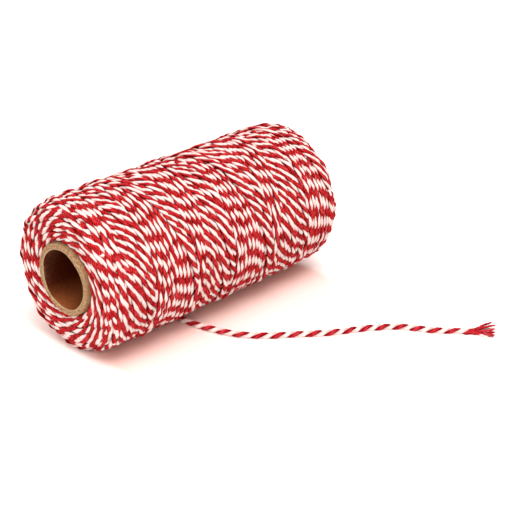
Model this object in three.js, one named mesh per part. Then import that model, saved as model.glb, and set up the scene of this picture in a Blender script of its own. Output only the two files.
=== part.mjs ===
import * as THREE from 'three';

// Roll of two-ply cotton macrame cord, cross-wound on a paper tube and lying on its side,
// with one loose end on the floor. Millimetres, Z up, floor at Z = 0.
// X runs along the roll's axis, and the origin is on the floor under the middle of the roll.

// --- driving dimensions ---
const CORD_DIAMETER = 2;
const ROLL_RADIUS = 25;          // over the outermost turns
const FLAT_DEPTH = 0.3;          // how far the roll is pressed flat where it lies
const CREST_X = 49.5;            // furthest reach of the wound ends along the axis
const CREST_RADIUS = 19.3;       // radius at which the wound ends reach furthest
const RIM_X = 47.2;              // where the wound ends meet the tube
const SHOULDER_X = 37;           // where the rounded shoulder becomes the straight body

const TUBE_INNER_RADIUS = 9.5;
const TUBE_WALL = 2.2;
const TUBE_LENGTH = 97.4;        // stands a little proud of the cord around it
const CLEARANCE = 0.3;           // gap between neighbouring pieces

const TURN_SLOPE = 13;           // degrees between a turn and the hoop direction
const BANDS_PER_LEAD = 4;        // bands of side-by-side turns in one lead of the helix
const BAND_RELIEF = 0.9;         // depth of the troughs between the bands
const UNDER_DROP = 0.35;         // share of the relief by which a band dips under another
const FLAT_BLEND = 40;           // degrees from the bottom over which the relief fades in

const FRAY_HALF_ANGLE = 24;      // degrees
const FRAY_HEADING = -39;        // degrees from +X, seen from above
const FRAY_THICKNESS = 1.6;
const FRAY_LIFT = 0.1;           // gap between the frayed yarns and the floor
const FRAY_SLIT_START = 4.2;     // the yarns are apart beyond this distance from the cord
const YARN_WIDTH = 0.7;          // share of a yarn's sector that it fills
const YARN_LENGTHS = [9.2, 10.1, 10.6, 9.8, 10.4, 9.6, 9.0];

const HOOP_SEGMENTS = 60;
const ROW_STEP = 1.75;           // spacing of the rows of facets on the winding
const TUBE_SEGMENTS = 72;
const CORD_STEP = 4;             // length of one section of the loose cord

// --- derived dimensions ---
const axisHeight = ROLL_RADIUS - FLAT_DEPTH;
const tubeOuterRadius = TUBE_INNER_RADIUS + TUBE_WALL;
const holeRadius = tubeOuterRadius + CLEARANCE;
const cordRadius = CORD_DIAMETER / 2;
const lead = 2 * Math.PI * ROLL_RADIUS * Math.tan(THREE.MathUtils.degToRad(TURN_SLOPE));

const cottonLook = { color: 0xd9626a, roughness: 0.95, metalness: 0 };
const paperLook = { color: 0xbe966e, roughness: 0.9, metalness: 0 };

// Centre line of the loose end: straight out from under the roll, then in lazy curves along the
// floor to the frayed tip.
const routeHeight = cordRadius + 0.02;
const LOOSE_ROUTE = [
  [-11.6, -11.3],
  [-11.4, -13.8],
  [-10.9, -16.8],
  [-10.0, -20.3],
  [-8.8, -24.2],
  [-7.2, -28.3],
  [-5.0, -32.2],
  [-2.0, -36.0],
  [2.0, -39.9],
  [6.6, -43.5],
  [11.0, -47.3],
  [15.6, -50.9],
  [20.6, -53.9],
  [25.5, -56.9],
  [30.0, -60.3],
  [33.9, -63.9],
  [36.7, -68.2],
  [39.6, -72.9],
  [43.0, -76.8],
  [45.6, -79.7],
];

// Half of the winding's outline as radius and axial reach, from the middle of the body, round
// the shoulder and down the dished end to the tube.
function halfProfile() {
  const half = new THREE.CurvePath();
  half.add(new THREE.LineCurve(
    new THREE.Vector2(ROLL_RADIUS, 0),
    new THREE.Vector2(ROLL_RADIUS, SHOULDER_X),
  ));
  half.add(new THREE.CubicBezierCurve(
    new THREE.Vector2(ROLL_RADIUS, SHOULDER_X),
    new THREE.Vector2(ROLL_RADIUS, SHOULDER_X + 9.2),
    new THREE.Vector2(CREST_RADIUS + 4.1, CREST_X + 0.2),
    new THREE.Vector2(CREST_RADIUS, CREST_X),
  ));
  half.add(new THREE.CubicBezierCurve(
    new THREE.Vector2(CREST_RADIUS, CREST_X),
    new THREE.Vector2(CREST_RADIUS - 2.8, CREST_X - 0.1),
    new THREE.Vector2(holeRadius + 2, RIM_X + 1.4),
    new THREE.Vector2(holeRadius, RIM_X),
  ));
  return half.getSpacedPoints(Math.round(half.getLength() / ROW_STEP));
}

function windingProfile() {
  const upper = halfProfile();
  const lower = upper.slice(1).reverse().map((p) => new THREE.Vector2(p.x, -p.y));
  return [...lower, ...upper, lower[0].clone()];
}

// Relief of the cross-wound bands, from 0 in the troughs to 1 on the bands. The bands of the two
// directions of winding pass over and under each other in turn.
function bandRelief(x, angle) {
  const turn = angle / (2 * Math.PI);
  const outward = Math.PI * BANDS_PER_LEAD * (x / lead + turn);
  const inward = Math.PI * BANDS_PER_LEAD * (x / lead - turn);
  const outwardRidge = 1 - Math.abs(Math.sin(outward)) ** 3;
  const inwardRidge = 1 - Math.abs(Math.sin(inward)) ** 3;
  const over = THREE.MathUtils.clamp(3 * Math.cos(outward) * Math.cos(inward), -1, 1);
  return Math.max(
    outwardRidge * (1 - UNDER_DROP * (1 - over) / 2),
    inwardRidge * (1 - UNDER_DROP * (1 + over) / 2),
  );
}

// The relief fades out where the roll is pressed on the floor and where the turns swing round
// the ends.
function troughDepth(x, angle) {
  const fromBottom = Math.abs(THREE.MathUtils.radToDeg(angle));
  const offFloor = THREE.MathUtils.smoothstep(fromBottom, FLAT_BLEND / 4, FLAT_BLEND);
  const offEnds = 1 - THREE.MathUtils.smoothstep(Math.abs(x), SHOULDER_X, CREST_X - 2);
  return BAND_RELIEF * (1 - bandRelief(x, angle)) * offFloor * offEnds;
}

function makeWinding() {
  const geometry = new THREE.LatheGeometry(windingProfile(), HOOP_SEGMENTS);
  geometry.rotateZ(-Math.PI / 2);
  const position = geometry.getAttribute('position');
  const point = new THREE.Vector3();
  for (let i = 0; i < position.count; i += 1) {
    point.fromBufferAttribute(position, i);
    const radius = Math.hypot(point.y, point.z);
    if (radius > holeRadius + CLEARANCE) {
      const angle = Math.atan2(point.y, -point.z);
      const scale = 1 - troughDepth(point.x, angle) / radius;
      point.y *= scale;
      point.z = Math.max(point.z * scale, -axisHeight);
    }
    position.setXYZ(i, point.x, point.y, point.z);
  }
  const winding = new THREE.Mesh(geometry, new THREE.MeshStandardMaterial(cottonLook));
  winding.name = 'winding';
  winding.position.z = axisHeight;
  return winding;
}

function makeCoreTube() {
  const end = TUBE_LENGTH / 2;
  const profile = [
    new THREE.Vector2(tubeOuterRadius, -end),
    new THREE.Vector2(tubeOuterRadius, end),
    new THREE.Vector2(TUBE_INNER_RADIUS, end),
    new THREE.Vector2(TUBE_INNER_RADIUS, -end),
    new THREE.Vector2(tubeOuterRadius, -end),
  ];
  const geometry = new THREE.LatheGeometry(profile, TUBE_SEGMENTS);
  geometry.rotateZ(-Math.PI / 2);
  const tube = new THREE.Mesh(geometry, new THREE.MeshStandardMaterial(paperLook));
  tube.name = 'core_tube';
  tube.position.z = axisHeight;
  return tube;
}

function makeLooseCord() {
  const route = new THREE.CatmullRomCurve3(
    LOOSE_ROUTE.map(([x, y]) => new THREE.Vector3(x, y, routeHeight)),
  );
  const sides = 8;
  const section = new THREE.Shape();
  for (let i = 0; i < sides; i += 1) {
    const angle = (2 * Math.PI * i) / sides;
    const corner = [cordRadius * Math.cos(angle), cordRadius * Math.sin(angle)];
    if (i === 0) section.moveTo(...corner);
    else section.lineTo(...corner);
  }
  section.closePath();
  const geometry = new THREE.ExtrudeGeometry(section, {
    extrudePath: route,
    steps: Math.round(route.getLength() / CORD_STEP),
    bevelEnabled: false,
  });
  const cord = new THREE.Mesh(geometry, new THREE.MeshStandardMaterial(cottonLook));
  cord.name = 'loose_cord';
  return cord;
}

// The yarns spread like a comb from a point a little inside the end of the cord.
function makeFrayedEnd() {
  const halfAngle = THREE.MathUtils.degToRad(FRAY_HALF_ANGLE);
  const apex = -cordRadius / Math.tan(halfAngle);
  const sector = (2 * halfAngle) / YARN_LENGTHS.length;
  const polar = (reach, angle) => [
    apex + (reach - apex) * Math.cos(angle),
    (reach - apex) * Math.sin(angle),
  ];
  const outline = new THREE.Shape();
  outline.moveTo(0, -cordRadius);
  YARN_LENGTHS.forEach((length, i) => {
    const middle = -halfAngle + (i + 0.5) * sector;
    const halfYarn = (YARN_WIDTH * sector) / 2;
    outline.lineTo(...polar(length, middle - halfYarn));
    outline.lineTo(...polar(length, middle + halfYarn));
    if (i < YARN_LENGTHS.length - 1) outline.lineTo(...polar(FRAY_SLIT_START, middle + sector / 2));
  });
  outline.lineTo(0, cordRadius);
  outline.closePath();
  const geometry = new THREE.ExtrudeGeometry(outline, {
    depth: FRAY_THICKNESS,
    bevelEnabled: false,
  });
  const frayed = new THREE.Mesh(geometry, new THREE.MeshStandardMaterial(cottonLook));
  frayed.name = 'frayed_end';
  const heading = THREE.MathUtils.degToRad(FRAY_HEADING);
  const [endX, endY] = LOOSE_ROUTE[LOOSE_ROUTE.length - 1];
  const gap = 1.5 * CLEARANCE;
  frayed.position.set(endX + gap * Math.cos(heading), endY + gap * Math.sin(heading), FRAY_LIFT);
  frayed.rotation.z = heading;
  return frayed;
}

const roll = new THREE.Group();
roll.add(makeWinding(), makeCoreTube(), makeLooseCord(), makeFrayedEnd());

export default roll;
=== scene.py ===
"""Roll of two-ply red and white cotton cord, cross-wound on a paper tube, built turn by turn.

The winding is laid by a small model of how a ball winder works: each turn rests on the turns
under it, and only the stretches that show are meshed. Lengths are millimetres until mesh_piece.
"""
import math

import bpy
import numpy as np
from mathutils import Matrix, Vector


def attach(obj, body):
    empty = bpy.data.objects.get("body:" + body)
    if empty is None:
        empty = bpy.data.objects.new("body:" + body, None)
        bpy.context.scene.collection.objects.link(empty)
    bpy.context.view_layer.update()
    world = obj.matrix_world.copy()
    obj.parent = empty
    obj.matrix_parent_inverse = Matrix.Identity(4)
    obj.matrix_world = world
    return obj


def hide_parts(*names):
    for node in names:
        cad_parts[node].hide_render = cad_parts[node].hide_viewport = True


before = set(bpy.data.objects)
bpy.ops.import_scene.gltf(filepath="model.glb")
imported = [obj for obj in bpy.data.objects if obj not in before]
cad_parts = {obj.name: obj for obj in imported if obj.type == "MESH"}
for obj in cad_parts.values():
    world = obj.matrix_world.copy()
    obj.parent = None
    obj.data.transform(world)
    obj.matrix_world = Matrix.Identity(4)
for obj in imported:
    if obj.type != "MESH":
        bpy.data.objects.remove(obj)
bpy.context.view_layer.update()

TAU = 2 * math.pi
MM = 0.001

# ---------------------------------------------------------------------------------- sizes, mm
ROLL_R = 25.0            # over the outermost turns
AXIS_Z = 24.7            # the roll lies on a small flat spot
PITCH = 5.65             # one full turn of the two plies, left-handed
WOUND_PITCH = 5.7        # the same on the roll, where the pull of the winding draws it out

# ---------------------------------------------------------------------------------- camera
AZ, EL = math.radians(45.09), math.radians(26.02)
AIM_RIGHT, AIM_UP = 23.076, -7.768      # where it aims, from the middle of the roll
AWAY = 446.99                           # how far from there it stands
LENS, SENSOR = 97.43, 36
back = Vector((-math.sin(AZ) * math.cos(EL), -math.cos(AZ) * math.cos(EL), math.sin(EL)))
right = Vector((math.cos(AZ), -math.sin(AZ), 0))
up = back.cross(right)
target = Vector((0, 0, AXIS_Z)) + AIM_RIGHT * right + AIM_UP * up
camera_data = bpy.data.cameras.new("camera")
camera_data.lens, camera_data.sensor_width = LENS, SENSOR
camera_data.clip_start, camera_data.clip_end = 0.01, 10
camera = bpy.data.objects.new("camera", camera_data)
turned = Matrix((right, up, back)).transposed().to_4x4()
camera.matrix_world = Matrix.Translation((target + AWAY * back) * MM) @ turned
bpy.context.scene.collection.objects.link(camera)
bpy.context.scene.camera = camera
bpy.context.scene.view_settings.view_transform = "Standard"


# ---------------------------------------------------------------------------------- mesh tools
def mesh_piece(name, verts, quads, materials, face_material=None, uvs=None, tris=None):
    """A mesh object from arrays: vertices in mm, quads as rows of four, caps as triangles."""
    me = bpy.data.meshes.new(name)
    tris = np.zeros((0, 3), int) if tris is None else tris
    faces = [tuple(f) for f in quads.tolist()] + [tuple(f) for f in tris.tolist()]
    me.from_pydata((verts * MM).tolist(), [], faces)
    for m in materials:
        me.materials.append(m)
    if face_material is not None:
        me.polygons.foreach_set("material_index", face_material.astype(np.int32))
    for layer, values in (uvs or {}).items():
        uv = me.uv_layers.new(name=layer, do_init=False)
        uv.uv.foreach_set("vector", values.astype(np.float32).ravel())
    me.polygons.foreach_set("use_smooth", np.ones(len(me.polygons), bool))
    me.update()
    ob = bpy.data.objects.new(name, me)
    bpy.context.scene.collection.objects.link(ob)
    return ob


def ring_quads(rings, cols):
    """Quads between rings of points, and from the last ring back to the first."""
    i, j = np.meshgrid(np.arange(rings), np.arange(cols), indexing="ij")
    at = lambda i_, j_: (i_ % rings) * cols + j_ % cols
    return np.stack([at(i, j), at(i, j + 1), at(i + 1, j + 1), at(i + 1, j)], -1).reshape(-1, 4)


def angles(count):
    """Evenly spaced angles all the way round."""
    return np.arange(count) / count * TAU


def lengths(p):
    """How far along a line each of its points lies."""
    return np.r_[0, np.cumsum(np.linalg.norm(np.diff(p, axis=0), axis=1))]


def ease(x):
    """From 0 to 1 as x does, with a soft start and end."""
    return np.clip(x, 0, 1) ** 2 * (3 - 2 * np.clip(x, 0, 1))


def wander(l, amount, waves):
    """A random wave along a line, made of one for each wavelength."""
    return sum(amount * rng.normal() * np.sin(TAU * l / w + rng.uniform(0, TAU)) for w in waves)


# ---------------------------------------------------------------------------------- materials
def rgb(r, g, b):
    return tuple((c / 255 / 12.92 if c / 255 <= 0.04045 else ((c / 255 + 0.055) / 1.055) ** 2.4)
                 for c in (r, g, b)) + (1,)


class Nodes:
    """Short calls for building the nodes of a material or of the world."""

    def __init__(self, owner):
        self.owner = owner
        owner.use_nodes = True
        self.tree = owner.node_tree
        self.tree.nodes.clear()

    def add(self, kind, **values):
        n = self.tree.nodes.new(kind)
        for key, v in values.items():
            setattr(n, key, v)
        return n

    def set(self, node, **inputs):
        """Sockets go by their names, or by their numbers as i0, i1 and so on."""
        for key, v in inputs.items():
            numbered = key[0] == "i" and key[1:].isdigit()
            s = node.inputs[int(key[1:]) if numbered else key.replace("_", " ")]
            if isinstance(v, bpy.types.NodeSocket):
                self.tree.links.new(v, s)
            else:
                s.default_value = v
        return node

    def math(self, op, a, b=0.0, c=0.0):
        n = self.set(self.add("ShaderNodeMath", operation=op), i0=a, i1=b, i2=c)
        return n.outputs[0]

    def mix(self, fac, a, b):
        n = self.add("ShaderNodeMix", data_type="RGBA")
        self.set(n, i0=fac, i6=a, i7=b)
        return n.outputs[2]

    def ramp(self, fac, stops, smooth=False):
        n = self.add("ShaderNodeValToRGB")
        n.color_ramp.interpolation = "EASE" if smooth else "LINEAR"
        el = n.color_ramp.elements
        while len(el) < len(stops):
            el.new(0.5)
        for e, (at, col) in zip(el, stops):
            e.position, e.color = at, col if hasattr(col, "__len__") else (col, col, col, 1)
        self.set(n, i0=fac)
        return n.outputs[0]

    def noise(self, vector, scale, detail, rough):
        n = self.add("ShaderNodeTexNoise")
        self.set(n, Vector=vector, Scale=scale, Detail=detail, Roughness=rough)
        return n.outputs[0]

    def xyz(self, x, y, z):
        return self.set(self.add("ShaderNodeCombineXYZ"), i0=x, i1=y, i2=z).outputs[0]

    def split(self, vector):
        return self.set(self.add("ShaderNodeSeparateXYZ"), i0=vector).outputs

    def place(self):
        """Where a point lies, in metres."""
        return self.split(self.add("ShaderNodeTexCoord").outputs["Object"])

    def bump(self, strength, distance, height):
        n = self.add("ShaderNodeBump")
        return self.set(n, Strength=strength, Distance=distance, Height=height).outputs[0]

    def surface(self, shader, output="ShaderNodeOutputMaterial"):
        self.set(self.add(output), i0=shader.outputs[0])
        return self.owner

    def shader(self, **inputs):
        return self.surface(self.set(self.add("ShaderNodeBsdfPrincipled"), **inputs))


def cotton(name, body, shade, light, painted_crease, glow, depth):
    """Cotton yarn. The map "yarn" is in mm: across from the ply's ridge, and along the cord."""
    n = Nodes(bpy.data.materials.new(name))
    across, along, _ = n.split(n.add("ShaderNodeUVMap", uv_map="yarn").outputs[0])
    # singles lie side by side in the ply, a little slanted against it
    yarn = n.math("MULTIPLY_ADD", along, -1.0, n.math("MULTIPLY", across, 1.9))
    wave = n.math("SINE", n.math("MULTIPLY", yarn, TAU))
    ridge = n.math("MULTIPLY_ADD", wave, 0.5, 0.5)
    # fine fibres run with them, and larger patches are dyed a little darker or lighter
    slanted = n.math("MULTIPLY_ADD", along, -3.2, n.math("MULTIPLY", across, 6.5))
    fibre = n.noise(n.xyz(slanted, n.math("MULTIPLY", along, 0.55), 0.0), 1.6, 5.0, 0.62)
    blotch = n.noise(n.xyz(across, n.math("MULTIPLY", along, 0.5), 3.0), 0.7, 2.0, 0.5)
    # a quarter of the tone follows the singles: a painted highlight on their crests and painted shade in the
    # grooves between them
    tone = n.math("MULTIPLY_ADD", fibre, 0.75, n.math("MULTIPLY", ridge, 0.25))
    col = n.ramp(tone, [(0.3, shade), (0.5, body), (0.7, light)])
    col = n.mix(n.ramp(blotch, [(0.5, 0.0), (0.7, 0.75)]), col, shade)
    col = n.mix(n.ramp(blotch, [(0.3, 0.5), (0.46, 0.0)]), col, light)
    # painted shade deep between the plies; on the white ply it is tinted red, a painted red bounce
    off = n.math("MULTIPLY", n.math("ABSOLUTE", across), 0.5)
    col = n.mix(n.ramp(off, [(0.22, 0.0), (0.52, 1.0)], smooth=True), col, painted_crease)
    height = n.math("MULTIPLY_ADD", ridge, 0.7, n.math("MULTIPLY", fibre, 0.9))
    return n.shader(Base_Color=col, Roughness=0.9, Specular_IOR_Level=0.05,
                    Normal=n.bump(0.55, 0.00012, height),
                    Sheen_Weight=0.02, Sheen_Roughness=0.45,
                    Subsurface_Weight=glow, Subsurface_Radius=(1.0, 0.5, 0.45), Subsurface_Scale=depth)


# painted_crease: painted shade between the plies, dark red on the red ply and pink on the white as painted
# red bounce
red = cotton("red_cotton", body=rgb(192, 4, 12), shade=rgb(114, 0, 2), light=rgb(226, 82, 86),
             painted_crease=rgb(108, 0, 2), glow=0.1, depth=0.0005)
white = cotton("white_cotton", body=rgb(250, 232, 226), shade=rgb(242, 209, 202),
               light=rgb(252, 244, 240), painted_crease=rgb(236, 150, 143), glow=0.15, depth=0.0006)
# the loose end lies in the open: its copies have lighter painted crease shade and less painted red bounce
# between the plies
loose_red = cotton("loose_red_cotton", body=rgb(190, 24, 38), shade=rgb(142, 8, 20),
                   light=rgb(228, 80, 88), painted_crease=rgb(146, 10, 24), glow=0.1, depth=0.0005)
loose_white = cotton("loose_white_cotton", body=rgb(250, 234, 228), shade=rgb(243, 214, 207),
                     light=rgb(252, 244, 240), painted_crease=rgb(246, 206, 200), glow=0.15, depth=0.0006)

# ---------------------------------------------------------------------------------- tubes of cord
# In the loose end, a ply's middle is PLY_AT from the cord's middle, and the others are half of its
# thickness outwards and half of its width
PLY_AT, PLY_THICK, PLY_WIDE = 0.48, 0.52, 0.74
# On the roll, a ply's middle goes LIFT up and down and SWING from side to side, and the others are
# half of the pressed ply's height, and half of its width on top and at a side
LIFT, SWING = 0.27, 0.36
HIGH, WIDE, NARROW = 0.44, 0.75, 0.52
FULLER = 1.12             # the dyed ply is a little thicker than the white one
PRESSED = [0, 34, 68, 104, 148, -148, -104, -68, -34]     # degrees round a pressed ply
TUBE_GAP = 0.5            # between one tube and the next along the map, mm
ROW_GAP = 0.4             # between the rows of OFBake, mm


class Strands:
    """Collects closed tubes and makes one piece of them.

    The map "yarn" holds mm across and along each tube, and OFBake holds it cut into rows.
    """

    def __init__(self):
        self.v, self.q, self.t, self.uv, self.tuv = [], [], [], [], []
        self.qm, self.tm, self.ridge = [], [], []
        self.count, self.length, self.width = 0, 0.0, 0.0

    def add(self, rings, ply, length):
        """rings is (rings, points, 3), and a ring starts on the ply's ridge.

        ply is the number of the tube's material, and length each ring's place along it.
        """
        n, m = rings.shape[:2]
        base = self.count
        col = np.arange(m)
        nxt = (col + 1) % m
        row = base + np.arange(n - 1)[:, None] * m
        i, j = row + col, row + nxt
        self.q.append(np.stack([i, j, j + m, i + m], -1).reshape(-1, 4))
        self.qm.append(np.full((n - 1) * m, ply, np.int32))
        middle = rings[n // 2]
        girth = np.r_[0, np.cumsum(np.linalg.norm(np.roll(middle, -1, 0) - middle, axis=1))]
        self.width = max(self.width, girth[-1])
        a, b = girth[:-1][None], girth[1:][None]
        l0, l1 = length[:-1, None] + self.length, length[1:, None] + self.length
        shape = (n - 1, m)
        self.uv.append(np.stack([np.stack([np.broadcast_to(x, shape), np.broadcast_to(y, shape)], -1)
                                 for x, y in ((a, l0), (b, l0), (b, l1), (a, l1))], 2).reshape(-1, 4, 2))
        first, last, c0 = base, base + (n - 1) * m, base + n * m
        mid = (girth[:-1] + girth[1:]) / 2
        ridge = np.round(mid / girth[-1]) * girth[-1]
        self.ridge += [np.tile(ridge, n - 1).repeat(4), np.tile(ridge, 2).repeat(3)]
        for hub, edge, at, flip in ((c0, first, length[0], True), (c0 + 1, last, length[-1], False)):
            x, y = (nxt, col) if flip else (col, nxt)
            gx, gy = (girth[1:], girth[:-1]) if flip else (girth[:-1], girth[1:])
            self.t.append(np.stack([np.full(m, hub), edge + x, edge + y], 1))
            at = np.full(m, at + self.length)
            self.tuv.append(np.stack([np.stack([x_, at], 1) for x_ in (mid, gx, gy)], 1))
            self.tm.append(np.full(m, ply, np.int32))
        self.v += [rings.reshape(-1, 3), rings[[0, -1]].mean(1)]
        self.count += n * m + 2
        self.length += length[-1] - length[0] + TUBE_GAP

    def make(self, name, materials):
        quad_uv, tri_uv = np.concatenate(self.uv), np.concatenate(self.tuv)
        uv = np.concatenate([quad_uv.reshape(-1, 2), tri_uv.reshape(-1, 2)])
        yarn = uv.copy()
        yarn[:, 0] -= np.concatenate(self.ridge[::2] + self.ridge[1::2])
        face = np.concatenate([np.repeat(quad_uv[..., 1].mean(1), 4),
                               np.repeat(tri_uv[..., 1].mean(1), 3)])
        rows = max(1, math.ceil(math.sqrt(self.length / (self.width + ROW_GAP))))
        row_len = self.length / rows
        row = np.floor(face / row_len).clip(0, rows - 1)
        atlas = np.stack([(uv[:, 1] / row_len - row) * 0.98 + 0.01,
                          (row + (uv[:, 0] + ROW_GAP / 2) / (self.width + ROW_GAP)) / rows], 1).clip(0, 1)
        return mesh_piece(name, np.concatenate(self.v), np.concatenate(self.q), materials,
                          np.concatenate(self.qm + self.tm), {"yarn": yarn, "OFBake": atlas},
                          np.concatenate(self.t))


def frames(pos, normal):
    """The tangent, and the two directions across it, at each point of a line."""
    tan = np.gradient(pos, axis=0)
    tan /= np.linalg.norm(tan, axis=1)[:, None]
    nor = normal - (normal * tan).sum(1)[:, None] * tan
    nor /= np.linalg.norm(nor, axis=1)[:, None]
    return tan, nor, np.cross(tan, nor)


def rings_round(mid, nor, bi, up, aside):
    """A ring round each point of a line; up and aside say where its points lie from there."""
    return mid[:, None] + up[..., None] * nor[:, None] + aside[..., None] * bi[:, None]


def fibre(p, normal, radius, count):
    """The rings of a round fibre along a line."""
    _, nor, bi = frames(p, normal)
    b = angles(count)
    return rings_round(p, nor, bi, radius * np.cos(b), radius * np.sin(b))


def pressed_plies(pos, normal, phase, thick):
    """The two plies of a cord pressed into the roll: they spread sideways where they lie on top."""
    _, nor, bi = frames(pos, normal)
    b = np.radians(PRESSED)
    for k in (0, 1):
        c, s = np.cos(phase + k * math.pi), np.sin(phase + k * math.pi)
        full = thick * (FULLER if k == 0 else 2 - FULLER)
        mid = pos + (LIFT * c)[:, None] * nor + (SWING * s)[:, None] * bi
        wide = (NARROW + (WIDE - NARROW) * c * c) * full
        yield rings_round(mid, nor, bi, HIGH * full[:, None] * np.cos(b), wide[:, None] * np.sin(b))


# ---------------------------------------------------------------------------------- loose end
ROUTE = [
    (-11.6, -11.3), (-11.4, -13.8), (-10.9, -16.8), (-10.0, -20.3), (-8.8, -24.2), (-7.2, -28.3),
    (-5.0, -32.2), (-2.0, -36.0), (2.0, -39.9), (6.6, -43.5), (11.0, -47.3), (15.6, -50.9),
    (20.6, -53.9), (25.5, -56.9), (30.0, -60.3), (33.9, -63.9), (36.7, -68.2), (39.6, -72.9),
    (43.0, -76.8), (45.6, -79.7)]
UNDER_ROLL = [(-11.2, -3.0), (-11.5, -7.0)]     # where the last turn still lies between roll and floor
CORD_Z = 1.02
TIP_HEADING = math.radians(-39)
UP = np.array([0.0, 0.0, 1.0])
# the red ply faces the camera at 63.9 degrees, and the photo has a red leaf 12.7 mm along the line
LOOSE_PHASE = math.radians(63.9) + TAU * 12.7 / PITCH
LAG, LAG_FROM, LAG_OVER = 0.65, 20, 78          # halfway along, the twist lags a little behind
YARNS = 6                # yarns in a ply, twisted the other way from the cord
YARN_PITCH = 6.5
ENDING = 2.4             # each ply ends inside its own yarns, thinner over this length
PLY_POINTS = 32


def through(points, step):
    """A smooth line through the points (centripetal Catmull-Rom), at an even step."""
    p = np.array(points, float)
    p = np.concatenate([[2 * p[0] - p[1]], p, [2 * p[-1] - p[-2]]])
    t = np.r_[0, np.cumsum(np.linalg.norm(np.diff(p, axis=0), axis=1) ** 0.5)]
    out = []
    for i in range(1, len(p) - 2):
        u = np.linspace(t[i], t[i + 1], 40, endpoint=i == len(p) - 3)[:, None]
        w = lambda a, b, x, y: (t[b] - u) / (t[b] - t[a]) * x + (u - t[a]) / (t[b] - t[a]) * y
        a1, a2, a3 = [w(k, k + 1, p[k], p[k + 1]) for k in (i - 1, i, i + 1)]
        b1, b2 = w(i - 1, i + 1, a1, a2), w(i, i + 2, a2, a3)
        out.append(w(i, i + 1, b1, b2))
    out = np.concatenate(out)
    l = lengths(out)
    at = np.linspace(0, l[-1], max(int(l[-1] / step), 2))
    return np.stack([np.interp(at, l, out[:, k]) for k in range(p.shape[1])], 1), at


def squared(x):
    """The plies flatten where they press together."""
    return np.sign(x) * np.abs(x) ** 0.82


line, line_l = through(UNDER_ROLL + ROUTE, 0.2)
line = np.concatenate([line, np.full((len(line), 1), CORD_Z)], 1)
rng = np.random.default_rng(21)
phase = LOOSE_PHASE - TAU * line_l / PITCH
phase = phase + wander(line_l, 0.1, (41, 23))
phase = phase + TAU * LAG / PITCH * np.sin(np.pi * np.clip((line_l - LAG_FROM) / LAG_OVER, 0, 1)) ** 2
loose = Strands()
_, nor, bi = frames(line, UP)
b = angles(PLY_POINTS)
thin = 1 - 0.75 * ease((line_l - (line_l[-1] - ENDING)) / ENDING)
for k in (0, 1):
    turn = phase + k * math.pi
    outward = np.cos(turn)[:, None] * nor + np.sin(turn)[:, None] * bi
    sideways = -np.sin(turn)[:, None] * nor + np.cos(turn)[:, None] * bi
    # the yarns stand out as ribs, and the ply swells and thins a little on its way
    ribs = np.abs(np.cos(YARNS / 2 * (b - TAU * line_l[:, None] / YARN_PITCH)))
    r = (0.92 + 0.09 * ribs ** 0.7) * (1 + 0.03 * np.sin(TAU * line_l / 17 + k))[:, None]
    r = r * thin[:, None]
    rings = rings_round(line + PLY_AT * outward, outward, sideways,
                        PLY_THICK * r * squared(np.cos(b)), PLY_WIDE * r * squared(np.sin(b)))
    rings[..., 2] = np.maximum(rings[..., 2], 0.02)     # flat where it would go into the floor
    loose.add(rings, k, line_l)
loose_cord = loose.make("loose_end", [loose_red, loose_white])

# The frayed end: six yarns of each ply follow it to its end, and then fan out
# for the yarns of each ply: how far ahead of the cord, how far aside and how high each one ends
ENDS = [[(9.97, 2.72, 2.3), (10.75, 1.12, 1.9), (10.21, -0.54, 1.4),
         (9.99, -1.71, 1.05), (9.6, -2.77, 0.8), (9.17, -3.51, 0.45)],
        [(9.5, 3.6, 0.5), (9.57, 1.43, 0.6), (9.49, -0.16, 0.4),
         (8.53, -1.98, 0.35), (8.34, -3.5, 0.35), (7.3, -3.9, 0.35)]]
SPLIT = 2.1              # the yarns come apart this far beyond the cord's end
INSIDE = 3.2             # and start this far back inside their ply
YARN_STEPS, YARN_POINTS = 72, 16
TIP_FIBRES = 9
tip = line[-1]
end_tan, end_nor, end_bi = (x[-1] for x in frames(line, UP))
ahead = np.array([math.cos(TIP_HEADING), math.sin(TIP_HEADING), 0])
aside = np.array([-math.sin(TIP_HEADING), math.cos(TIP_HEADING), 0])
fray = Strands()


def along_ply(at, ply, place):
    """Where a yarn of the ply lies, at mm from the cord's end."""
    base = np.stack([np.interp(line_l[-1] + at, line_l, line[:, i]) for i in range(3)], 1)
    base += np.clip(at, 0, None)[:, None] * end_tan
    turn = phase[-1] - TAU * at / PITCH + ply * math.pi
    outward = np.cos(turn)[:, None] * end_nor + np.sin(turn)[:, None] * end_bi
    sideways = -np.sin(turn)[:, None] * end_nor + np.cos(turn)[:, None] * end_bi
    b = place * TAU / YARNS + TAU * at / YARN_PITCH
    room = 0.45 + 0.18 * ease((at + 2.6) / 2.6)
    return (base + (PLY_AT + PLY_THICK * room * np.cos(b))[:, None] * outward
            + (PLY_WIDE * room * np.sin(b))[:, None] * sideways)


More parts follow.
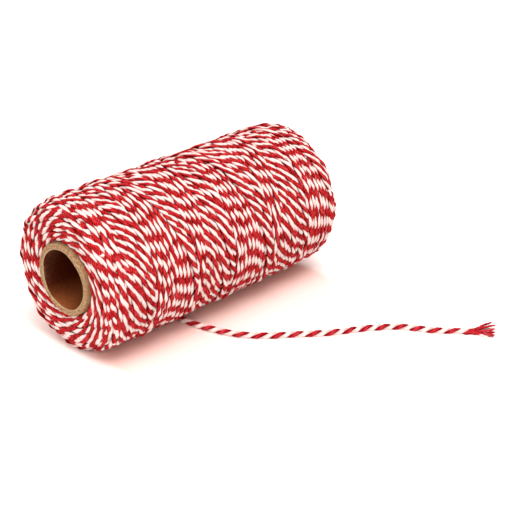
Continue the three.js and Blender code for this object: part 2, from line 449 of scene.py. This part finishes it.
yarns = []
for ply in (0, 1):
    starts = [along_ply(np.array([SPLIT]), ply, place)[0] for place in range(YARNS)]
    order = np.argsort([(tip - x) @ aside for x in starts])
    yarns += [(ply, int(place), starts[place], *end_) for place, end_ in zip(order, ENDS[ply])]
for ply, place, start, long_, over, rise in yarns:
    fan = math.atan2(over, long_)
    goal = tip + long_ * ahead + over * aside + (0, 0, rise - CORD_Z)
    reach = np.linspace(-INSIDE, long_, YARN_STEPS)
    u = ((reach - SPLIT) / (long_ - SPLIT))[:, None]
    free = start + (goal - start) * u
    u = np.clip(u[:, 0], 0, 1)
    free += (0.14 * np.sin(TAU * (u * rng.uniform(1.6, 2.4) + rng.uniform(0, 1))) * u)[:, None] * aside
    free[:, 2] += 0.12 * np.sin(TAU * (u * rng.uniform(1.4, 2.2) + rng.uniform(0, 1))) * u
    w = ease((reach - SPLIT + 1.2) / 2.6)[:, None]
    pos = along_ply(reach, ply, place) * (1 - w) + free * w
    pos[:, 2] = np.maximum(pos[:, 2], 0.33)
    l = lengths(pos)
    # a yarn fills out as it leaves the ply, and thins again towards its tip
    u = np.linspace(0, 1, YARN_STEPS)
    grow = 0.22 + 0.22 * ease(u * 2.2)
    grow = grow * (1 - 0.2 * ease((u - 0.5) / 0.4)) * (1 - 0.5 * np.clip((u - 0.9) / 0.1, 0, 1) ** 2)
    b = angles(YARN_POINTS)
    r = grow[:, None] * (0.88 + 0.16 * np.abs(np.cos(1.5 * (b[None] + TAU * l[:, None] / 3.4))))
    r *= 1 + 0.07 * np.sin(TAU * (l / 1.7 + rng.uniform(0, 1)))[:, None]
    fray.add(fibre(pos, UP, r, YARN_POINTS), ply, l)
    # loose fibres at the yarn's tip
    for _ in range(TIP_FIBRES):
        k = rng.integers(YARN_STEPS - 18, YARN_STEPS - 1)
        way = ahead * math.cos(fan) + aside * math.sin(fan)
        way = way + 0.33 * rng.normal(size=3) * (1, 1, 0.7)
        way /= np.linalg.norm(way)
        v = np.linspace(0, 1, 9)[:, None]
        p = pos[k] + rng.normal(size=3) * 0.07 + way * v * rng.uniform(0.9, 2.0)
        p = p + 0.2 * rng.normal(size=3) * v ** 2
        p[:, 2] = np.maximum(p[:, 2], 0.08)
        fray.add(fibre(p, np.array([0.1, 0.2, 1.0]), 0.05 * (1 - 0.6 * v), 5), ply,
                 np.linspace(0, 1.5, 9))
frayed = fray.make("frayed_yarns", [loose_red, loose_white])
for ob, node in ((loose_cord, "loose_cord"), (frayed, "frayed_end")):
    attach(ob, "root")
    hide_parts(node)

# ---------------------------------------------------------------------------------- winding model
LEAD = 33.0              # travel along the axis in one turn
SLANT = TAU / LEAD
TURNS_PER_LEAD = 19.0    # so they lie 1.74 mm apart along the axis
PASSES = 20              # to and fro
LAST_PASS = math.radians(160.9)     # how far round the last one crosses the middle
LAY_A, LAY_B = 0.9, 0.7  # half width and half height of a turn as it lies
MID_DEPTH = 0.8          # about how deep its middle lies under the roll's outline
SQUEEZE = 0.16           # how far it sinks into the turns under it
SHOULDER, REACH = 44.0, 49.0        # along the profile: where the turns bend back, and about how far out
DS, NT = 0.2, 720        # cells of the height field along the profile and around
SAMPLE = 0.4             # step along a turn while it is wound
HIDDEN = 2.4             # a turn is drawn about this far on where it goes under others, and dives over it


def bezier(p, n):
    t = np.linspace(0, 1, n)[:, None]
    p = np.array(p, float)
    return (1 - t) ** 3 * p[0] + 3 * (1 - t) ** 2 * t * p[1] + 3 * (1 - t) * t ** 2 * p[2] + t ** 3 * p[3]


# The roll's outline from its middle over the shoulder and down the wound end, and S along all of it
half = np.concatenate([
    np.array([[0, ROLL_R], [37, ROLL_R]]),
    bezier([(37, ROLL_R), (46.2, ROLL_R), (49.7, 23.4), (49.5, 19.3)], 60)[1:],
    bezier([(49.5, 19.3), (49.4, 16.5), (49.1, 14), (48.3, 12)], 30)[1:]])
arc = np.r_[0, np.cumsum(np.hypot(*np.diff(half, axis=0).T))]
S_MAX = arc[-1]
g = np.arange(0, S_MAX + DS / 2, DS)
S = np.r_[-g[:0:-1], g]
PX = np.interp(np.abs(S), arc, half[:, 0]) * np.sign(S)
PR = np.interp(np.abs(S), arc, half[:, 1])


def slope_of(y):
    return np.convolve(np.pad(np.gradient(y, S), 2, "edge"), np.ones(5) / 5, "valid")


NX, NR = -slope_of(PR), slope_of(PX)
NX, NR = NX / np.hypot(NX, NR), NR / np.hypot(NX, NR)
PK = slope_of(np.unwrap(np.arctan2(NX, NR)))      # curvature of the profile
# The height field starts as a bed, this deep under the outline
BED = np.interp(np.abs(S), [0, 38, 43, 50, 54, S_MAX], [3.1, 3.1, 3.5, 3.4, 2.6, 1.9])
H = np.repeat(-BED[:, None], NT, 1)


def cell(s, th):
    return (s - S[0]) / DS, th / TAU * NT


def look_up(field, s, th):
    i, j = cell(s, th)
    i = np.clip(i, 0, len(S) - 1.001)
    i0, j0 = i.astype(int), np.floor(j).astype(int)
    fi, fj = i - i0, j - j0
    j0, j1 = j0 % NT, (j0 + 1) % NT
    return ((field[i0, j0] * (1 - fj) + field[i0, j1] * fj) * (1 - fi)
            + (field[i0 + 1, j0] * (1 - fj) + field[i0 + 1, j1] * fj) * fi)


def taut(l, y):
    """The string pulled tight over y."""
    hull = []
    for i in range(len(l)):
        while len(hull) >= 2:
            a, b = hull[-2], hull[-1]
            if (y[b] - y[a]) * (l[i] - l[a]) <= (y[i] - y[a]) * (l[b] - l[a]):
                hull.pop()
            else:
                break
        hull.append(i)
    return np.interp(l, l[hull], y[hull])


def soften(y, sigma):
    m = int(3 * sigma / SAMPLE)
    w = np.exp(-0.5 * (np.arange(-m, m + 1) * SAMPLE / sigma) ** 2)
    return np.convolve(np.pad(y, m, "edge"), w / w.sum(), "valid")


def top(d):
    """How high a turn reaches over its middle, d to the side of it."""
    return LAY_B * np.sqrt(1 - (d / LAY_A) ** 2)


class Turn:
    """A stretch of cord on the roll: s along the profile, th around it, and z off it."""

    def __init__(self, s, th):
        r = np.interp(s, S, PR) - MID_DEPTH
        l = np.r_[0, np.cumsum(np.hypot(np.diff(s), 0.5 * (r[1:] + r[:-1]) * np.diff(th)))]
        self.l = np.linspace(0, l[-1], max(int(l[-1] / SAMPLE), 3))
        self.s, self.th = np.interp(self.l, l, s), np.interp(self.l, l, th)
        r = np.interp(self.s, S, PR)
        ds, dt = np.gradient(self.s, self.l), np.gradient(self.th, self.l) * r
        m = np.hypot(ds, dt)
        self.side_s, self.side_t = -dt / m, ds / m / r
        curve = (dt / m) ** 2 / r * np.interp(self.s, S, NR) + (ds / m) ** 2 * np.interp(self.s, S, PK)
        step = self.l[1] - self.l[0]
        self.bow = np.cumsum(np.cumsum(np.maximum(curve, 0.02))) * step * step

    def under(self, d):
        """The height field at d to each side of the turn."""
        return look_up(H, self.s[:, None] + self.side_s[:, None] * d,
                       self.th[:, None] + self.side_t[:, None] * d)

    def settle(self):
        d = np.linspace(-0.68, 0.68, 9) * LAY_A
        rest = (self.under(d) + top(d)).max(1) - SQUEEZE
        self.z = soften(taut(self.l, rest - self.bow) + self.bow, 0.8)

    def cover(self, lo=0.0, hi=None):
        f = np.arange(lo, self.l[-1] if hi is None else hi, 0.15)
        at = lambda y: np.interp(f, self.l, y)[:, None]
        d = np.linspace(-0.99, 0.99, 17) * LAY_A
        i, j = cell(at(self.s) + at(self.side_s) * d, at(self.th) + at(self.side_t) * d)
        z = at(self.z) + top(d)
        i, j = np.rint(i).astype(int), np.rint(j).astype(int) % NT
        ok = (i >= 0) & (i < len(S))
        np.maximum.at(H, (i[ok], j[ok]), z[ok])

    def showing(self):
        d = np.linspace(-0.7, 0.7, 5) * LAY_A
        seen = ((self.z[:, None] + top(d)) > self.under(d) - 0.15).any(1)
        w = int(HIDDEN / SAMPLE)
        return np.convolve(seen.astype(float), np.ones(2 * w + 1), "same") > 0


rng = np.random.default_rng(7)
turns = []

# A flat coil on each wound end, from the tube out to under the shoulder
COIL_STEP, COIL_IN, COIL_OUT = 1.8, S_MAX - 0.5, 41.0
for side in (-1, 1):
    th = np.linspace(0, TAU * (S_MAX - COIL_OUT) / COIL_STEP, 2600) + rng.uniform(0, TAU)
    s = COIL_IN - COIL_STEP * np.clip((th - th[0]) / TAU - 0.8, 0, None)
    calm = np.clip((th - th[0]) / TAU - 1, 0, 1)
    for w in (140, 66, 31):
        s = s + 0.2 * calm * rng.normal() * np.sin(TAU * (th - th[0]) * 17 / w + rng.uniform(0, TAU))
    t = Turn(side * np.minimum(s, COIL_IN), th)
    t.settle()
    t.cover()
    t.phase = rng.uniform(0, TAU) - TAU * t.l / WOUND_PITCH
    t.phase += np.interp((t.th - t.th[0]) / TAU, np.arange(12), np.cumsum(rng.uniform(-1.0, 1.0, 12)))
    t.phase += wander(t.l, 0.5, (121, 83, 57, 39))
    turns.append(t)

BEND, BLUNT = 4.9, 0.06             # the size of a bend back, and how blunt its tip is
EVEN = 4.0                          # the depth at which it has no bulge and no dent
SHALLOW, DEEPER = 1.4, 6.5          # the least depth of a bend, and how much is added to it at most
GOLDEN = 0.618
BEND_STEPS = 60                     # to its tip


def bend(u, d):
    """How far past the shoulder a turn goes as it turns back; u runs from -1 to 1."""
    tip_at = 1 - np.sqrt(u * u + BLUNT) + (math.sqrt(1 + BLUNT) - 1)
    return BEND * tip_at + (d - EVEN) * (1 - u * u) ** 2


def bend_depth(k, c):
    return SHALLOW + DEEPER * ((k * GOLDEN + c) % 1) ** 1.4


# The passes to and fro, each leg with half of the bend at either end of it
legs = []
for k in range(PASSES):
    a = LAST_PASS - TAU / TURNS_PER_LEAD * (k - (PASSES - 1))
    legs += [(1, k, a), (-1, k, a - SLANT)]
track = []
end = None
for way, k, at0 in legs:
    s = way * np.linspace(-SHOULDER, SHOULDER, 400)
    if k == PASSES - 1 and way < 0:
        s = np.linspace(SHOULDER, -12.0, 250)    # the last turn leaves the roll underneath
    th = at0 + way * SLANT * s
    shift = 0.0
    before = []
    if end is not None:
        shift = TAU * round((end + 2 * (REACH - SHOULDER) * SLANT - th[0]) / TAU)
        u = np.linspace(-1, 1, 2 * BEND_STEPS + 1)
        d = bend_depth(k, 0.13 if way < 0 else 0.57)
        b = (-way * (SHOULDER + bend(u, d)), end + (u + 1) / 2 * (th[0] + shift - end))
        track[-1][2].append([x[1:BEND_STEPS + 1] for x in b])
        before = [[x[BEND_STEPS:-1] for x in b]]
    track.append([way, k, before + [(s, th + shift)], at0])
    end = th[-1] + shift

# Newer turns ride a little higher in each lead, so that they end in a step
fade = np.clip((SHOULDER - np.abs(S)) / 6, 0, 1)[:, None]
around = angles(NT)[None, :]
for way, at0 in ((1, LAST_PASS), (-1, LAST_PASS - SLANT)):
    H += 0.55 * fade * (0.5 - ((around - way * SLANT * S[:, None] - at0) / TAU) % 1.0)

TAIL = 5.0                  # the end of a leg, which goes into the field when the next one joins it
JOIN, JOIN_TWIST = 8, 28    # over these lengths a leg's height and twist come to meet the next one's
PER_RAD = math.hypot(ROLL_R - MID_DEPTH, LEAD / TAU)
SHIFT = {1: 0.1, -1: 2.7}   # how far the plies of neighbouring turns are out of step, mm
STRAY = [(way, rng.uniform(0.6, 1.2), TAU / rng.uniform(14, 40), rng.uniform(-0.5, 0.5), rng.uniform(0, TAU))
         for way in (1, -1) for _ in range(6)]
drift = {1: 0.0, -1: 1.0}


def stray(way, s, th):
    """A slow wander of the twist over the roll, mm."""
    return sum(a * np.sin(k * math.cos(d) * s + np.round(k * math.sin(d) * ROLL_R) * th + p)
               for w, a, k, d, p in STRAY if w == way)


last = None
for way, k, parts, at0 in track:
    s, th = (np.concatenate(x) for x in zip(*parts))
    l = np.r_[0, np.cumsum(np.hypot(np.diff(s), (ROLL_R - 1) * np.diff(th)))]
    calm = np.clip(np.minimum(l, l[-1] - l) / 25, 0, 1)
    t = Turn(s + wander(l, 0.055, (90, 47, 26, 15)) * calm, th)
    t.settle()
    mid = np.interp(0, t.s * way, t.l)
    drift[way] += 0.42 * rng.normal()
    ref = TAU / WOUND_PITCH * (SHIFT[way] * k + drift[way] - PER_RAD * at0)
    t.phase = ref - TAU * (t.l - mid - stray(way, t.s, t.th)) / WOUND_PITCH
    t.phase += wander(t.l, 0.36, (83, 41, 23))
    if last is not None:
        gap = last.z[-1] - t.z[0]
        last.z -= gap / 2 * ease(1 - (last.l[-1] - last.l) / JOIN)
        t.z += gap / 2 * ease(1 - t.l / JOIN)
        gap = (last.phase[-1] - t.phase[0] + math.pi) % TAU - math.pi
        last.phase -= gap / 2 * np.clip(1 - (last.l[-1] - last.l) / JOIN_TWIST, 0, 1)
        t.phase += gap / 2 * np.clip(1 - t.l / JOIN_TWIST, 0, 1)
        t.phase += last.phase[-1] - t.phase[0]
        last.cover(last.l[-1] - TAIL)
    t.cover(0, t.l[-1] - TAIL)
    turns.append(t)
    last = t
last.cover(last.l[-1] - TAIL)


def low_pass(field, along, around_):
    """The height field smoothed over these lengths, along the profile and around it."""
    n = int(3 * along / DS)
    w = np.exp(-0.5 * (np.arange(-n, n + 1) * DS / along) ** 2)
    pad = np.pad(field, ((n, n), (0, 0)), "edge")
    out = sum(wi * pad[i:i + len(field)] for i, wi in enumerate(w / w.sum()))
    f = np.fft.rfft(out, axis=1)
    f *= np.exp(-2 * (np.pi * np.arange(f.shape[1]) * around_ / (TAU * ROLL_R)) ** 2)
    return np.fft.irfft(f, NT, axis=1)


def to_roll(s, th, z):
    x = np.interp(s, S, PX) + np.interp(s, S, NX) * z
    r = np.interp(s, S, PR) + np.interp(s, S, NR) * z
    return np.stack([x, -r * np.cos(th), AXIS_Z + r * np.sin(th)], -1)


def normal_at(s, th):
    nr = np.interp(s, S, NR)
    return np.stack([np.interp(s, S, NX), -nr * np.cos(th), nr * np.sin(th)], -1)


# The tension of the winding keeps the surface even: slow swells are taken out
swell = low_pass(H, 2.6, 4.5)
SURFACE = -0.55             # off the outline: the middle of a turn that is level with the swells
# the most a turn stands out of that surface, on the roll and on its ends, or lies below it
PROUD, PROUD_END, SUNK, SUNK_END = 0.34, 0.08, 1.05, 0.85
STEP = 0.6                  # between the rings of a ply
DIVE = 0.9                  # how much deeper the hidden end of a stretch goes
LOWEST = 0.86               # a turn's middle over the floor, where the roll lies on it
PIECES = 4                  # the turns are this many pieces, to keep each one's triangles down
stretches = []
for t in turns:
    t.show = t.showing()
    t.z = t.z - look_up(swell, t.s, t.th)
    most = np.where(t.z > 0, np.interp(np.abs(t.s), [38, 43], [PROUD, PROUD_END]),
                    np.interp(np.abs(t.s), [40, 45], [SUNK, SUNK_END]))
    t.z = most * np.tanh(t.z / most) + SURFACE
    edge = np.flatnonzero(np.diff(np.r_[0, t.show.astype(int), 0]))
    stretches += [(t, a, b) for a, b in zip(edge[::2], edge[1::2]) if b - a > 3]
total = sum(t.l[b - 1] - t.l[a] for t, a, b in stretches)
meshes = [Strands() for _ in range(PIECES)]
run = 0.0
for t, a, b in stretches:
    l = np.linspace(t.l[a], t.l[b - 1], max(int((t.l[b - 1] - t.l[a]) / STEP), 4))
    s, th, z, ph = (np.interp(l, t.l, y) for y in (t.s, t.th, t.z, t.phase))
    # where a stretch goes under others, it goes on down out of sight
    to_end = np.minimum(l - l[0] if a > 0 else np.inf, l[-1] - l if b < len(t.l) else np.inf)
    z = z - DIVE * np.clip(1 - to_end / HIDDEN, 0, 1) ** 1.5
    pos = to_roll(s, th, z)
    pos[:, 2] = np.maximum(pos[:, 2], LOWEST)
    thick = 1 + wander(l, 0.05, (23, 11, 6.5))
    mesh = meshes[min(int(run / total * PIECES), PIECES - 1)]
    for k, rings in enumerate(pressed_plies(pos, normal_at(s, th), ph, thick)):
        mesh.add(rings, k, l - l[0])
    run += l[-1] - l[0]

# Loose fibres of the cotton, standing off the yarns
HAIRS = 1500
fuzz = Strands()
weights = np.array([t.l[b - 1] - t.l[a] for t, a, b in stretches])
for pick in rng.choice(len(stretches), HAIRS, p=weights / weights.sum()):
    t, a, b = stretches[pick]
    at = rng.uniform(t.l[a], t.l[b - 1])
    l = at + np.array([-0.2, 0.2])
    s, th, z, ph = (np.interp(l, t.l, y) for y in (t.s, t.th, t.z, t.phase))
    pos = to_roll(s, th, z)
    tan, nor, bi = (x[0] for x in frames(pos, normal_at(s, th)))
    k = 0 if math.cos(ph[0]) > 0 else 1
    turn = ph[0] + k * math.pi
    round_ = rng.uniform(-1.0, 1.0)
    root = pos[0] + (LIFT * math.cos(turn) + 0.8 * HIGH * math.cos(round_)) * nor
    root = root + (SWING * math.sin(turn) + 0.7 * WIDE * math.sin(round_)) * bi
    off = math.cos(round_) * nor + math.sin(round_) * bi
    way = rng.choice([-1, 1]) * tan + rng.normal() * 0.5 * bi + rng.uniform(0.15, 0.8) * off
    way /= np.linalg.norm(way)
    v = np.linspace(0, 1, 6)[:, None]
    long_ = rng.uniform(0.9, 2.4)
    curl = rng.normal() * bi + rng.normal() * tan + rng.uniform(-0.6, 0.5) * off
    p = root + long_ * (way * v + 0.28 * v * v * curl)
    p[:, 2] = np.maximum(p[:, 2], 0.05)
    fuzz.add(fibre(p, off, 0.028 * (1 - 0.5 * v), 3), k, long_ * v[:, 0])
hairs = fuzz.make("loose_fibres", [red, white])
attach(hairs, "root")

for i, m in enumerate(meshes):
    ob = m.make(f"turns_{i + 1}", [red, white])
    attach(ob, "root")
    if i == 0:
        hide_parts("winding")

# Inner layers, seen only in the gaps between the turns; they have the cord's red and white painted darker
# and redder, as painted shade and painted red bounce in the gaps
n = Nodes(bpy.data.materials.new("inner_layers"))
x, y, z = n.place()
px = n.math("MULTIPLY", x, 1000.0)
ang = n.math("ARCTAN2", n.math("MULTIPLY_ADD", z, 1.0, -AXIS_Z * MM), y)
lay = n.math("SINE", n.math("MULTIPLY_ADD", px, TAU / 1.9, n.math("MULTIPLY", ang, 9.0)))
ply = n.math("SINE", n.math("MULTIPLY_ADD", px, 1.1, n.math("MULTIPLY", ang, 44.0)))
rough = n.noise(n.xyz(px, n.math("MULTIPLY", ang, 20.0), 0.0), 1.2, 4.0, 0.6)
col = n.ramp(n.math("MULTIPLY_ADD", ply, 0.5, rough),
             [(0.3, rgb(150, 8, 16)), (0.62, rgb(186, 20, 28)), (0.8, rgb(226, 150, 146))])
inner = n.shader(Base_Color=col, Roughness=0.9, Specular_IOR_Level=0.15,
                 Normal=n.bump(0.7, 0.0004, n.math("MULTIPLY_ADD", lay, 0.5, rough)))
INNER_RINGS, INNER_COLS = 110, 120
sg, tg = np.meshgrid(np.linspace(-S_MAX, S_MAX, INNER_RINGS), angles(INNER_COLS), indexing="ij")
pos = to_roll(sg, tg, -np.interp(np.abs(sg), [0, 38, 43, 50, 54, S_MAX], [1.5, 1.5, 1.6, 1.6, 1.5, 1.4]))
pos[..., 2] = np.maximum(pos[..., 2], 2.0)
core = mesh_piece("inner_layers", pos.reshape(-1, 3), ring_quads(INNER_RINGS, INNER_COLS), [inner])
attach(core, "root")

# ---------------------------------------------------------------------------------- paper tube
TUBE_IN, TUBE_OUT, TUBE_X = 9.5, 11.6, 49.5      # the two radii, and half of the length
LIP = 0.42               # the rounding of its edges
TUBE_COLS = 150
RAGGED = 1.2             # the cut ends are uneven over this length
SPIRAL = 38.0            # the innermost strip of paper goes once round in this length
STRIP = 0.14             # and its edge is this thick

n = Nodes(bpy.data.materials.new("kraft_board"))
x, y, z = n.place()
px, py = n.math("MULTIPLY", x, 1000.0), n.math("MULTIPLY", y, 1000.0)
pz = n.math("MULTIPLY_ADD", z, 1000.0, -AXIS_Z)
rad = n.math("SQRT", n.math("ADD", n.math("MULTIPLY", py, py), n.math("MULTIPLY", pz, pz)))
ang = n.math("ARCTAN2", pz, py)
pulp = n.noise(n.xyz(px, py, pz), 1.5, 6.0, 0.65)
specks = n.noise(n.xyz(px, py, pz), 2.6, 4.0, 0.7)
layers = n.xyz(n.math("MULTIPLY", rad, 5.0), n.math("MULTIPLY", ang, 2.0), n.math("MULTIPLY", px, 0.4))
layers = n.noise(layers, 1.0, 3.0, 0.6)
col = n.ramp(pulp, [(0.3, rgb(134, 98, 68)), (0.5, rgb(180, 144, 106)), (0.7, rgb(216, 186, 146))])
col = n.mix(n.ramp(specks, [(0.53, 0.0), (0.66, 0.75)]), col, rgb(104, 66, 38))
col = n.mix(n.ramp(specks, [(0.34, 0.7), (0.45, 0.0)]), col, rgb(232, 204, 168))
col = n.mix(n.ramp(layers, [(0.4, 0.35), (0.55, 0.0)]), col, rgb(120, 82, 50))
# a pale lip round the bore, a painted highlight on its rounded edge, and a darker outer rim; their stops are
# at a twentieth of the radius
edge = n.math("MULTIPLY", rad, 0.05)
col = n.mix(n.ramp(edge, [(0.477, 0.0), (0.483, 0.55), (0.492, 0.3), (0.505, 0.0)]), col, rgb(222, 196, 156))
col = n.mix(n.ramp(edge, [(0.562, 0.0), (0.58, 0.4)]), col, rgb(122, 84, 50))
# the bore is coloured dark as painted shade, darkest on its +y wall, and painted light brightens its lower
# side
inside = n.ramp(n.math("MULTIPLY", rad, 0.1), [(0.955, 1.0), (0.975, 0.0)])
deep = n.ramp(n.math("MULTIPLY_ADD", n.math("ABSOLUTE", px), -0.1, TUBE_X / 10), [(0.0, 0.97), (1.0, 1.0)])
bore_col = n.mix(n.ramp(pulp, [(0.35, 0.0), (0.65, 1.0)]), rgb(78, 22, 4), rgb(110, 44, 12))
# painted shade on the bore's +y wall
bore_col = n.mix(n.ramp(n.math("MULTIPLY", py, 0.1), [(0.2, 0.0), (0.9, 0.7)]), bore_col, rgb(56, 8, 0))
# painted light on the bore's lower side
bore_col = n.mix(n.ramp(n.math("MULTIPLY", pz, -0.1), [(0.5, 0.0), (0.72, 0.2), (0.93, 0.6)]), bore_col,
                 n.mix(pulp, rgb(128, 58, 22), rgb(210, 128, 76)))
col = n.mix(n.math("MULTIPLY", inside, deep), col, bore_col)
fine = n.math("MULTIPLY_ADD", layers, 0.7, n.math("MULTIPLY", specks, 0.3))
height = n.math("ADD", n.math("MULTIPLY", pulp, 0.8), fine)
kraft = n.shader(Base_Color=col, Roughness=0.88, Specular_IOR_Level=0.05,
                 Normal=n.bump(0.5, 0.00015, height))

quarter = np.linspace(0, math.pi / 2, 6)
lip_out = [(TUBE_X - LIP * (1 - math.sin(a)), TUBE_OUT - LIP * (1 - math.cos(a))) for a in quarter]
lip_in = [(TUBE_X - LIP * (1 - math.cos(a)), TUBE_IN + LIP * (1 - math.sin(a))) for a in quarter]
face = [(TUBE_X, r) for r in np.linspace(TUBE_OUT - LIP, TUBE_IN + LIP, 7)[1:-1]]
one_end = lip_out + face + lip_in
bore = [(x, TUBE_IN) for x in np.linspace(TUBE_X - LIP, -TUBE_X + LIP, 120)[1:-1]]
other_end = [(-x, r) for x, r in reversed(one_end)]
outside = [(x, TUBE_OUT) for x in np.linspace(-TUBE_X + LIP, TUBE_X - LIP, 12)[1:-1]]
prof = np.array(one_end + bore + other_end + outside)
ang = angles(TUBE_COLS)
x = np.repeat(prof[:, :1], TUBE_COLS, 1)
r = np.repeat(prof[:, 1:], TUBE_COLS, 1)


def ragged(seed, count, amount):
    """A closed wavy line around the tube."""
    draw = np.random.default_rng(seed)
    waves = np.arange(2, count)
    return amount * sum(draw.normal() * np.sin(k * ang + draw.uniform(0, TAU)) / math.sqrt(len(waves))
                        for k in waves)


for sign in (1, -1):
    near = np.clip((sign * x - (TUBE_X - RAGGED)) / RAGGED, 0, 1) ** 2
    uneven = ragged(3 + sign, 9, 0.10) + ragged(7 + sign, 40, 0.035)
    x += sign * near * uneven[None] - sign * near * 0.08
    r += near * (ragged(13 + sign, 6, 0.12) + ragged(17 + sign, 45, 0.03))[None]
# the innermost strip of paper is wound in a spiral, and its edge shows in the bore
strip = (x / SPIRAL + ang[None] / TAU) % 1.0
inner_face = r < TUBE_IN + 0.3
r += inner_face * (STRIP * np.clip(strip / 0.02, 0, 1) * np.clip((1 - strip) / 0.9, 0, 1) - STRIP / 2)
pos = np.stack([x, -r * np.cos(ang)[None], AXIS_Z + r * np.sin(ang)[None]], -1)
tube = mesh_piece("paper_tube", pos.reshape(-1, 3), ring_quads(len(prof), TUBE_COLS), [kraft])
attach(tube, "root")
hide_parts("core_tube")

# ---------------------------------------------------------------------------------- floor, light
n = Nodes(bpy.data.materials.new("floor"))
rays = n.add("ShaderNodeLightPath").outputs
seen = n.math("MAXIMUM", rays["Is Glossy Ray"], rays["Is Transmission Ray"])
seen = n.math("MAXIMUM", rays["Is Camera Ray"], seen)
# Painted light: for the camera the floor glows, more the farther it lies from the strip the roll stands
# over, which whitens the roll's shadow away from that strip.
# On each side of the strip, along x and along y: how steeply the painted glow rises, and from where, m
SIDES = [[(-5.0, 0.043), (5.0, 0.043)], [(-1.0, 0.008), (2.0, 0.006)]]
away = []
for at, sides in zip(n.place(), SIDES):
    beyond = [n.math("MULTIPLY_ADD", at, steep, -abs(steep) * start) for steep, start in sides]
    beyond = n.math("MAXIMUM", n.math("MAXIMUM", *beyond), 0.0)
    away.append(n.math("MULTIPLY", beyond, beyond))
away = n.ramp(n.math("SQRT", n.math("ADD", *away)),
              [(0.004, 0.0), (0.012, 0.08), (0.02, 0.21), (0.035, 0.37), (0.07, 0.6), (0.6, 1.0)])
# near the roll the camera sees the floor pinker: painted red bounce in the roll's shadow
painted_bounce = n.ramp(away, [(0.0, rgb(255, 216, 204)), (0.2, rgb(255, 230, 222))])
diffuse = n.set(n.add("ShaderNodeBsdfDiffuse"), Color=n.mix(rays["Is Camera Ray"], rgb(255, 250, 246), painted_bounce))
# the painted glow, seen by camera, glossy and transmission rays
glow = n.set(n.add("ShaderNodeEmission"), Color=(1, 1, 1, 1), Strength=n.math("MULTIPLY", seen, away))
both = n.set(n.add("ShaderNodeAddShader"), i0=diffuse.outputs[0], i1=glow.outputs[0])
FLOOR_HALF = 1500
corners = np.array([(-1, -1, 0), (1, -1, 0), (1, 1, 0), (-1, 1, 0)], float) * FLOOR_HALF
floor = mesh_piece("floor", corners, np.array([[0, 1, 2, 3]]), [n.surface(both)])

ROOM = (0.30, 0.25, 0.237, 1)       # what reaches the roll from the room around; the camera sees white
n = Nodes(bpy.data.worlds.new("studio"))
bpy.context.scene.world = n.owner
is_camera = n.add("ShaderNodeLightPath").outputs["Is Camera Ray"]
n.surface(n.set(n.add("ShaderNodeBackground"), i0=n.mix(is_camera, ROOM, (1, 1, 1, 1))),
          "ShaderNodeOutputWorld")

LAMP = (1, 0.99, 0.985)
AIM = Vector((0, 0, 0.02))


def area(name, at, width, power):
    """A round lamp that shines at the roll, in metres and watts."""
    d = bpy.data.lights.new(name, "AREA")
    d.shape, d.size, d.energy, d.color = "DISK", width, power, LAMP
    o = bpy.data.objects.new(name, d)
    o.location = at
    o.rotation_euler = (Vector(at) - AIM).to_track_quat("Z", "Y").to_euler()
    bpy.context.scene.collection.objects.link(o)


area("key", (-0.16, -0.35, 0.84), 0.5, 6.8)
area("front", (-0.58, -0.50, 0.42), 0.5, 2.3)
area("side", (-0.70, 0.30, 0.45), 0.5, 1.0)
area("back", (0.45, 0.55, 0.55), 0.6, 1.3)
